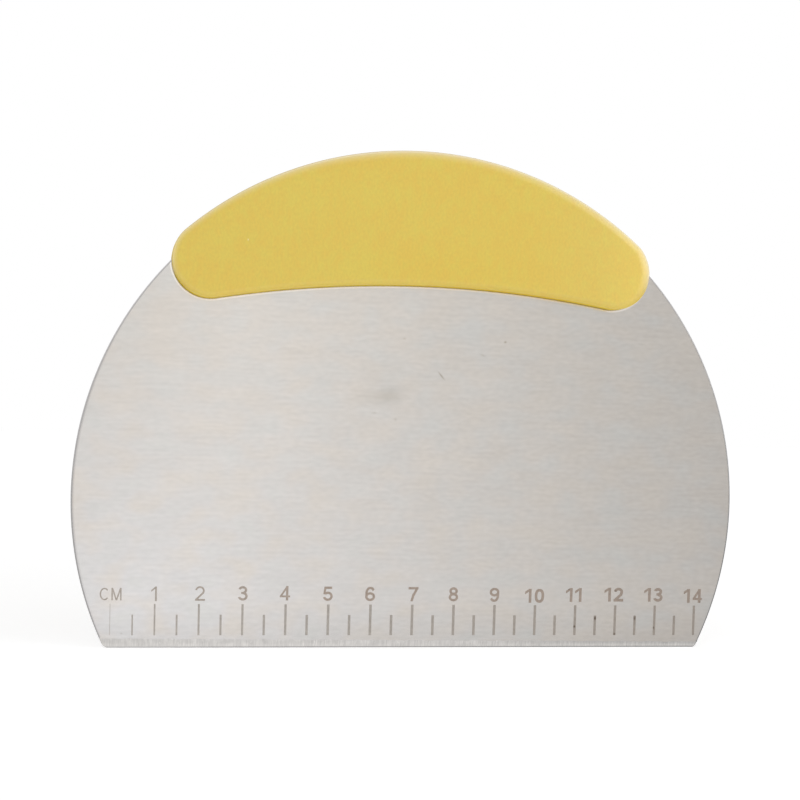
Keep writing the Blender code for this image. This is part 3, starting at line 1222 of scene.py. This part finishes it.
@dataclass(frozen=True)
class Bow:
    """A stroke bent round an ellipse, from one angle to another in degrees, counter-clockwise from +X."""

    centre: Pair
    reach: Pair
    width: float
    start: float = 0.0
    end: float = 360.0
    squareness: float = 2.0

    def field(self, x: Array, z: Array) -> Array:
        """How far outside the stroke a place is.

        Inside an ellipse the value is the root of the powers of x / a and z / b, less 1, times the smaller
        reach. The stroke is the larger ellipse without the smaller one, and without what lies past its ends.

        Args:
            x: places across.
            z: places up.

        Returns:
            Distances, negative inside the stroke.
        """
        dx, dz = x - self.centre[0], z - self.centre[1]
        stroke = np.maximum(self._ellipse(dx, dz, 0.0), -self._ellipse(dx, dz, self.width))
        if self.end - self.start >= 360.0:
            return stroke
        first, last = math.radians(self.start), math.radians(self.end)
        u, v = dx / self.reach[0], dz / self.reach[1]
        before = (u * math.sin(first) - v * math.cos(first)) * min(self.reach)
        after = (v * math.cos(last) - u * math.sin(last)) * min(self.reach)
        cut = np.maximum if self.end - self.start <= 180.0 else np.minimum
        return np.maximum(stroke, cut(before, after))

    def _ellipse(self, dx: Array, dz: Array, inset: float) -> Array:
        """The ellipse's own field, moved inwards by the inset."""
        a, b, n = self.reach[0] - inset, self.reach[1] - inset, self.squareness
        return ((np.abs(dx / a) ** n + np.abs(dz / b) ** n) ** (1 / n) - 1) * min(a, b)

    def turned(self, height: float) -> Bow:
        """The stroke turned half round about the middle of a sign of that height, as a 9 is made from a 6.

        Args:
            height: the sign's height.

        Returns:
            The turned stroke.
        """
        back = 0.0 if self.end - self.start >= 360.0 else 180.0
        centre = (-self.centre[0], height - self.centre[1])
        return Bow(centre, self.reach, self.width, self.start - back, self.end - back, self.squareness)


Strokes = tuple[Union[Bar, Bow], ...]


def numeral_strokes(sign: str, height: float, width: float, pen: float) -> Strokes:
    """The strokes of one sign, on a baseline at 0 and about X = 0.

    Args:
        sign: a digit, or C or M.
        height: the sign's height.
        width: the sign's width.
        pen: the strokes' width.

    Returns:
        The strokes, which together make the sign.
    """
    h, a, p = height, width / 2, pen
    low, high = (a, 0.31 * h), (0.9 * a, 0.275 * h)
    six = (Bow((0, low[1]), low, p), Bow((0.04 * a, h / 2), (a * 1.02, h / 2), p, 38, 200, 2.2))
    table: dict[str, Strokes] = {
        "0": (Bow((0, h / 2), (0.98 * a, h / 2), p, squareness=2.3),),
        "1": (
            Bar((a - p / 2, 0), (a - p / 2, h), p),
            Bar((a - 0.45 * p, 0.965 * h), (-1.1 * a, 0.68 * h), 0.8 * p),
        ),
        "2": (
            Bow((-0.02 * a, 0.69 * h), (0.94 * a, 0.31 * h), p, -38, 172),
            Bar((0.68 * a, 0.56 * h), (-0.78 * a, 0.08 * h), p),
            Bar((-0.98 * a, p / 2), (a, p / 2), p),
        ),
        "3": (
            Bow((-0.04 * a, h - high[1]), high, p, -90, 165),
            Bow((-0.02 * a, low[1] * 0.97), (a, low[1] * 0.97), p, -166, 92),
            Bar((-0.35 * a, 0.53 * h), (0.1 * a, 0.53 * h), 0.85 * p),
        ),
        "4": (
            Bar((0.42 * a, 0), (0.42 * a, h), p),
            Bar((-a, 0.28 * h), (a, 0.28 * h), 0.8 * p),
            Bar((0.46 * a, 0.97 * h), (-0.86 * a, 0.26 * h), 0.78 * p),
        ),
        "5": (
            Bar((-0.66 * a, h - p / 2), (0.86 * a, h - p / 2), p),
            Bar((-0.5 * a, h), (-0.74 * a, 0.46 * h), 0.9 * p),
            Bow((-0.02 * a, 0.325 * h), (a, 0.325 * h), p, -166, 140),
        ),
        "6": six,
        "7": (
            Bar((-a, h - p / 2), (a, h - p / 2), p),
            Bar((0.78 * a, 0.93 * h), (0.02 * a, 0.42 * h), p),
            Bar((0.08 * a, 0.52 * h), (-0.36 * a, -0.02 * h), p),
        ),
        "8": (Bow((0, low[1] * 0.95), (a, low[1] * 0.95), p), Bow((0, h - high[1]), high, p)),
        "9": tuple(stroke.turned(h) for stroke in six),
        "C": (Bow((0, h / 2), (a, h / 2), p, 42, 318),),
        "M": (
            Bar((-a + p / 2, 0), (-a + p / 2, h), p),
            Bar((a - p / 2, 0), (a - p / 2, h), p),
            Bar((-a + 0.6 * p, h), (0, 0), p),
            Bar((a - 0.6 * p, h), (0, 0), p),
        ),
    }
    return table[sign]


@dataclass(frozen=True)
class Sign:
    """One sign of the scale as a flat shape."""

    strokes: Strokes
    height: float
    reach: float
    cell: float = 0.04 * MM

    def field(self, x: Array, z: Array) -> Array:
        """The least of the strokes' fields, kept inside the sign's box."""
        shape = np.minimum.reduce([stroke.field(x, z) for stroke in self.strokes])
        return np.maximum.reduce((shape, -z, z - self.height, np.abs(x) - self.reach))

    def patch(self) -> tuple[Array, list[list[int]]]:
        """Cuts the shape out of a square grid.

        Grid points where the field is negative are kept. On each grid side whose ends differ in sign, a new
        point lies where the field would be 0 on a straight line between them. Each cell's polygon visits its
        corners and sides in turn and takes those that exist.

        Returns:
            Points of shape (n, 2) and the polygons' point indices.
        """
        x = np.arange(-self.reach - 2 * self.cell, self.reach + 3 * self.cell, self.cell)
        z = np.arange(-2 * self.cell, self.height + 3 * self.cell, self.cell)
        flat = np.stack(np.meshgrid(x, z, indexing="ij"), -1)
        value = self.field(flat[..., 0], flat[..., 1])
        value = np.where(np.abs(value) < 1e-9, 1e-9, value)
        inside = value < 0
        side_x, new_x = self._crossings(flat, value, 0)
        side_z, new_z = self._crossings(flat, value, 1)
        corner = self._numbered(inside, 0)
        on_x = self._numbered(side_x, inside.sum())
        on_z = self._numbered(side_z, inside.sum() + side_x.sum())
        below = (corner[:-1, :-1], on_x[:, :-1], corner[1:, :-1], on_z[1:])
        above = (corner[1:, 1:], on_x[:, 1:], corner[:-1, 1:], on_z[:-1])
        visits = np.stack((*below, *above), -1).reshape(-1, 8)
        real = visits >= 0
        used = real.sum(1) >= 3
        ends = np.cumsum(real[used].sum(1))[:-1]
        polygons = [part.tolist() for part in np.split(visits[used][real[used]], ends)]
        return np.concatenate((flat[inside], new_x, new_z)), polygons

    @staticmethod
    def _numbered(kept: Array, first: int) -> Array:
        """The running number of each kept item, counted from the first, and -1 for the others."""
        return np.where(kept, np.cumsum(kept).reshape(kept.shape) - 1 + first, -1)

    @staticmethod
    def _crossings(flat: Array, value: Array, axis: int) -> tuple[Array, Array]:
        """The grid sides along one axis that the outline crosses.

        Args:
            flat: the grid's points.
            value: the field at each.
            axis: 0 for sides along X, 1 for sides along Z.

        Returns:
            Which sides are crossed, and where.
        """
        here = np.arange(value.shape[axis] - 1)
        low, high = np.take(value, here, axis), np.take(value, here + 1, axis)
        crossed = (low < 0) != (high < 0)
        share = (low[crossed] / (low[crossed] - high[crossed]))[:, None]
        start, end = (np.take(flat, here + step, axis)[crossed] for step in (0, 1))
        return crossed, start + (end - start) * share


def lengths(table: tuple[Pair, ...], number: Array | int) -> Array:
    """The lengths for given centimetres, from a table of centimetres and mm with even changes between."""
    return np.interp(number, *zip(*table)) * MM


@dataclass
class Scale:
    """The scale: a tick every half centimetre, a number over each whole one, and CM over the first.

    The widths, the pens and the drifts are tables of centimetres and mm. A label is its baseline, then the
    left and the right end of each of its signs from its tick, in mm.
    """

    tick_finish: Material
    label_finish: Material
    zero: float = -69.6 * MM
    pitch: float = 10 * MM
    last: int = 14
    foot: float = 2.92 * MM
    long_top: float = 10.1 * MM
    short_top: float = 7.65 * MM
    raised: float = 0.12 * MM
    fan: float = 0.2
    proud: float = 0.012 * MM
    rooted: float = 0.05 * MM
    numeral_height: float = 3.35 * MM
    unit_height: float = 2.85 * MM
    flatness: float = math.radians(2)
    widths: tuple[Pair, ...] = ((0, 0.11), (0.5, 0.33), (2, 0.46), (5, 0.6), (8.5, 0.63), (14, 0.58))
    pens: tuple[Pair, ...] = ((0, 0.32), (1, 0.42), (2, 0.42), (3, 0.55), (9, 0.58), (10, 0.66), (14, 0.68))
    drifts: tuple[Pair, ...] = ((0, 0), (2.5, 0.07), (6, 0), (10.5, -0.12), (14, 0.02))
    labels: tuple[tuple[float, ...], ...] = (
        (10.75, -2.45, -0.32, 0.17, 2.44),
        (10.6, -0.92, 0.36),
        (10.72, -1.03, 1.28),
        (10.8, -1.18, 1.1),
        (10.88, -1.47, 0.95),
        (10.8, -1.33, 0.97),
        (10.8, -1.35, 1.02),
        (10.8, -1.0, 1.4),
        (10.8, -1.23, 1.06),
        (10.72, -1.24, 1.12),
        (10.53, -2.5, -0.91, -0.13, 2.26),
        (10.78, -2.36, -0.71, -0.1, 1.56),
        (10.9, -2.77, -1.1, -0.41, 2.05),
        (10.9, -2.73, -1.04, -0.36, 2.02),
        (10.68, -2.64, -1.04, -0.29, 2.06),
    )

    def _tick_at(self, number: Array | int) -> Array:
        """The place along X of a whole or half centimetre: even steps, with the printing's small drift."""
        return self.zero + number * self.pitch + lengths(self.drifts, number)

    def ticks(self) -> Piece:
        """Makes all ticks at once: a unit box's corners, widened, raised and leaned for each tick.

        Returns:
            The ticks, in place on the blade's face.
        """
        number = np.arange(2 * self.last + 1) / 2
        x = self._tick_at(number)[:, None]
        half = lengths(self.widths, number)[:, None] / 2
        top = np.where(number % 1 == 0, self.long_top, self.short_top)[:, None]
        side = np.array((-1, 1, 1, -1, -1, 1, 1, -1))
        high = np.array((0, 0, 1, 1, 0, 0, 1, 1))
        out = np.array((1, 1, 1, 1, 0, 0, 0, 0))
        z = self.foot + (top - self.foot) * high
        across = x + half * side + self.fan * x * (z - self.foot)
        y = np.broadcast_to(self.rooted - BLADE_HALF - out * (self.rooted + self.proud), across.shape)
        points = np.stack((across, y, z), -1).reshape(-1, 3)
        box = np.array(((0, 1, 2, 3), (4, 7, 6, 5), (0, 4, 5, 1), (1, 5, 6, 2), (2, 6, 7, 3), (3, 7, 4, 0)))
        quads = (box + 8 * np.arange(len(number))[:, None, None]).reshape(-1, 4)
        return new_piece("scale_ticks", points, listed(quads), smooth=False)

    def label(self, number: int, baseline: float, *ends: float) -> Piece:
        """Makes one label, its signs side by side, leaning as its tick does.

        Args:
            number: the whole centimetre that it stands over.
            baseline: its baseline in mm.
            ends: the left and the right end of each sign in mm.

        Returns:
            The label, in place on the blade's face.
        """
        pen, x = float(lengths(self.pens, number)), float(self._tick_at(number))
        text, height = (str(number), self.numeral_height) if number else ("CM", self.unit_height)
        patches, polygons, start = [], [], 0
        for sign, left, right in zip(text, ends[::2], ends[1::2]):
            width = (right - left) * MM
            flat, cells = Sign(numeral_strokes(sign, height, width, pen), height, width / 2).patch()
            flat[:, 0] += (left + right) / 2 * MM + self.fan * x * flat[:, 1]
            polygons += [[start + index for index in cell] for cell in cells]
            patches.append(flat)
            start += len(flat)
        across, up = np.concatenate(patches).T
        y = np.full(len(up), -BLADE_HALF - self.proud)
        points = np.stack((across + x, y, up + baseline * MM + self.raised), -1)
        piece = new_piece(f"scale_label_{number:02d}", points, polygons, closed=False, smooth=False)
        self._thicken(piece.data)
        return piece

    def _thicken(self, mesh: bpy.types.Mesh) -> None:
        """Joins the cells of flat signs into few faces and gives them a root in the steel.

        Args:
            mesh: the flat signs.
        """
        with opened(mesh) as work:
            bmesh.ops.dissolve_limit(work, angle_limit=self.flatness, verts=work.verts, edges=work.edges)
            bmesh.ops.triangulate(work, faces=work.faces)
            made = bmesh.ops.extrude_face_region(work, geom=list(work.faces))["geom"]
            for vert in (item for item in made if isinstance(item, bmesh.types.BMVert)):
                vert.co.y += self.rooted + self.proud
            bmesh.ops.recalc_face_normals(work, faces=work.faces)

    def build(self) -> tuple[Piece, list[Piece]]:
        """Makes the ticks and the labels."""
        return self.ticks(), [self.label(number, *row) for number, row in enumerate(self.labels)]

    def dress(self, ticks: Piece, labels: list[Piece]) -> None:
        """Gives the marks their finishes and hangs them on the scraper.

        Args:
            ticks: the ticks.
            labels: the labels.
        """
        for piece in (ticks, *labels):
            piece.data.materials.append(self.tick_finish if piece == ticks else self.label_finish)
            settle(piece, "steel")


@dataclass(frozen=True)
class PhotoCamera:
    """The camera, where the photograph was taken from: a little left of the middle, level with it."""

    place: Triple = (-69.77 * MM, -353.67 * MM, 55.69 * MM)
    ahead: Triple = (0.183345, 0.983024, 0.007243)
    right: Triple = (0.982643, -0.183476, 0.027000)
    focal_pixels: float = 1524.8
    picture_pixels: float = 800.0
    sensor: float = 36.0
    sight: Pair = (0.01, 50)

    def build(self) -> None:
        """Makes the camera and gives it to the scene."""
        ahead = Vector(self.ahead).normalized()
        up = Vector(self.right).cross(ahead).normalized()
        data = bpy.data.cameras.new("photo_camera")
        data.sensor_width = self.sensor
        data.lens = self.focal_pixels * self.sensor / self.picture_pixels
        data.clip_start, data.clip_end = self.sight
        data.dof.use_dof = False
        camera = link("photo_camera", data)
        turn = Matrix((ahead.cross(up), up, -ahead)).transposed().to_4x4()
        camera.matrix_world = Matrix.Translation(self.place) @ turn
        bpy.context.scene.camera = camera
        log.info("camera: lens %.2f mm", data.lens)


@dataclass(frozen=True)
class Surroundings:
    """The white studio as glossy surfaces see it: dimmer in front to both sides, bright beside and above.

    The changes turn a direction's share along X into a brightness.
    """

    to_right: Change = ((0.0, 0.75), (1.27, 0.33))
    to_left: Change = ((-0.25, 0.06), (0.7, 1.0))
    beside: float = 1.8
    beside_from: Pair = (0.85, 0.5)

    def level(self, graph: Graph, across: Feed) -> Socket:
        """How bright the studio is at the table's level in a direction with that share along X."""
        return graph.times(graph.remap(across, *self.to_right), graph.remap(across, *self.to_left))

    def strength(self, graph: Graph, direction: Socket) -> Socket:
        """How bright the studio is in a direction.

        Args:
            graph: the world's graph.
            direction: a unit vector.

        Returns:
            The brightness.
        """
        across, along, _ = graph.parts(direction)
        share = graph.soft(graph.size(along), self.beside_from)
        front = graph.times(self.level(graph, across), graph.rest(share))
        return graph.plus(front, graph.times(share, self.beside))

    def on_floor(self, graph: Graph) -> Socket:
        """How bright a place of the floor is in the blade's faces.

        A place is seen in the blade from the mirrored camera, in a direction whose share along X is the sine
        of the angle whose tangent is the place's X over its distance, both counted from that camera.

        Args:
            graph: the floor's graph.

        Returns:
            The brightness.
        """
        x, y, _ = graph.split()
        across = graph.math("SUBTRACT", x, PhotoCamera.place[0])
        away = graph.plus(graph.size(y), -PhotoCamera.place[1])
        return self.level(graph, graph.math("SINE", graph.math("ARCTAN2", across, away)))


@dataclass(frozen=True)
class Lamp:
    """A square soft lamp: its place, its side, its power in watts, and whether glossy surfaces show it."""

    name: str
    place: Triple
    side: float
    power: float
    mirrored: bool

    def build(self, aim: Triple) -> None:
        """Hangs the lamp.

        Args:
            aim: the place that it is turned to.
        """
        data = bpy.data.lights.new(self.name, "AREA")
        data.shape = "SQUARE"
        data.size = self.side
        data.energy = self.power
        lamp = link(self.name, data)
        lamp.location = self.place
        lamp.visible_glossy = self.mirrored
        lamp.rotation_euler = (Vector(aim) - Vector(self.place)).to_track_quat("-Z", "Y").to_euler()


@dataclass
class Studio:
    """A pale floor, an even white world and two large soft lamps."""

    surroundings: Surroundings
    floor_half: float = 2.5
    floor_colour: Triple = (0.8, 0.8, 0.8)
    floor_lift: Change = ((0.35, 1.1), (0.44, 0.53))
    lift_centre: Triple = (0.0, -0.2, 0.0)
    floor_glow: float = 0.5
    fill_front: float = 0.62
    fill_facing: Pair = (0.4, 1.0)
    fill_beside: Change = ((-0.9, 0.0), (0.95, 0.48))
    aim: Triple = (0.0, 0.0, 0.06)
    lamps: tuple[Lamp, ...] = (
        Lamp("key_right", (0.8, -0.45, 0.42), 0.8, 2.6, True),
        Lamp("soft_front", (-0.2, -0.9, 0.75), 1.1, 1.5, False),
    )

    def floor(self) -> None:
        """The floor: pale and diffuse, lifted to white for the camera with its shadows, and white in metal.

        The lamps light it less far away, so there it is lifted a little more.
        """
        half = self.floor_half
        corners = np.array(((-half, -half, 0), (half, -half, 0), (half, half, 0), (-half, half, 0)), float)
        floor = new_piece("studio_floor", corners, [(0, 1, 2, 3)], closed=False, smooth=False)
        graph = Finish("pale_floor")
        graph.tree.nodes.clear()
        path = graph.add("LightPath").outputs
        seen = graph.math("MAXIMUM", path["Is Camera Ray"], path["Is Transmission Ray"])
        reach = graph.length(graph.place(centre=self.lift_centre))
        lift = graph.times(seen, graph.remap(reach, *self.floor_lift))
        lift = graph.plus(lift, graph.times(path["Is Diffuse Ray"], self.floor_glow))
        diffuse = graph.add("BsdfDiffuse", {"Color": self.floor_colour}).outputs[0]
        glow = graph.add("Emission", {"Color": WHITE, "Strength": lift}).outputs[0]
        plain = graph.add("AddShader", {0: diffuse, 1: glow}).outputs[0]
        mirrored = self.surroundings.on_floor(graph)
        mirror = graph.add("Emission", {"Color": WHITE, "Strength": mirrored}).outputs[0]
        both = graph.add("MixShader", {0: path["Is Glossy Ray"], 1: plain, 2: mirror}).outputs[0]
        graph.add("OutputMaterial", {"Surface": both})
        floor.data.materials.append(graph.material)

    def world(self) -> None:
        """The world: white to the camera, the surroundings to glossy surfaces, a soft fill on all else."""
        world = bpy.data.worlds.new("white_studio")
        world.use_nodes = True
        bpy.context.scene.world = world
        graph = Graph(world.node_tree)
        graph.tree.nodes.clear()
        path = graph.add("LightPath").outputs
        direction = graph.add("TexCoord").outputs["Generated"]
        seen = graph.math("MAXIMUM", path["Is Camera Ray"], path["Is Transmission Ray"])
        glossy = path["Is Glossy Ray"]
        mirrored = graph.times(glossy, self.surroundings.strength(graph, direction))
        across, along, _ = graph.parts(direction)
        beside = graph.remap(across, *self.fill_beside)
        facing = graph.soft(graph.size(along), self.fill_facing)
        fill = graph.plus(graph.times(facing, self.fill_front), graph.times(graph.rest(facing), beside))
        rest = graph.times(graph.rest(graph.math("MAXIMUM", seen, glossy)), fill)
        strength = graph.plus(seen, mirrored, rest)
        back = graph.add("Background", {"Color": WHITE, "Strength": strength}).outputs[0]
        graph.add("OutputWorld", {"Surface": back})

    def build(self) -> None:
        """Sets up the floor, the world and the lamps."""
        self.floor()
        self.world()
        for lamp in self.lamps:
            lamp.build(self.aim)
        bpy.context.scene.view_settings.view_transform = "Standard"
        log.info("studio: floor, world and %d lamps", len(self.lamps))


def main() -> None:
    """Builds and dresses the scraper, then sets up the studio and the camera."""
    logging.basicConfig(level=logging.INFO, format="%(name)s: %(message)s")
    plastic = MouldedPlastic().material()
    blade = Blade(BrushedSteel().material(), GroundSteel().material(), SheetEdge().material())
    blade.dress(blade.build())
    for face in Face:
        half = HandleHalf(plastic, face)
        half.dress(half.build())
    tick_burns = (
        (40.2, 5.0, 0.5, 0.5, 1.1),
        (45.4, 7.0, 0.5, 0.7, 1.0),
        (55.4, 7.0, 0.5, 0.9, 0.7),
        (50.4, 3.2, 0.5, 0.5, 0.8),
        (60.2, 4.7, 0.4, 0.5, 0.8),
    )
    label_burns = (
        (50.4, 13.4, 0.5, 0.5, 0.9),
        (38.6, 14.0, 0.5, 0.5, 0.7),
        (60.2, 12.2, 0.5, 0.5, 0.7),
        (72.2, 10.9, 0.5, 0.5, 0.7),
    )
    greys = linear(166, 160, 153), linear(163, 154, 145)
    browns = linear(166, 158, 150), linear(163, 149, 138)
    ticks = LaserMark("annealed_ticks", *greys, (-20, 60), tick_burns)
    labels = LaserMark("annealed_labels", *browns, (-62, -18), label_burns)
    scale = Scale(ticks.material(), labels.material())
    scale.dress(*scale.build())
    PhotoCamera().build()
    Studio(Surroundings()).build()


if __name__ == "__main__":
    main()
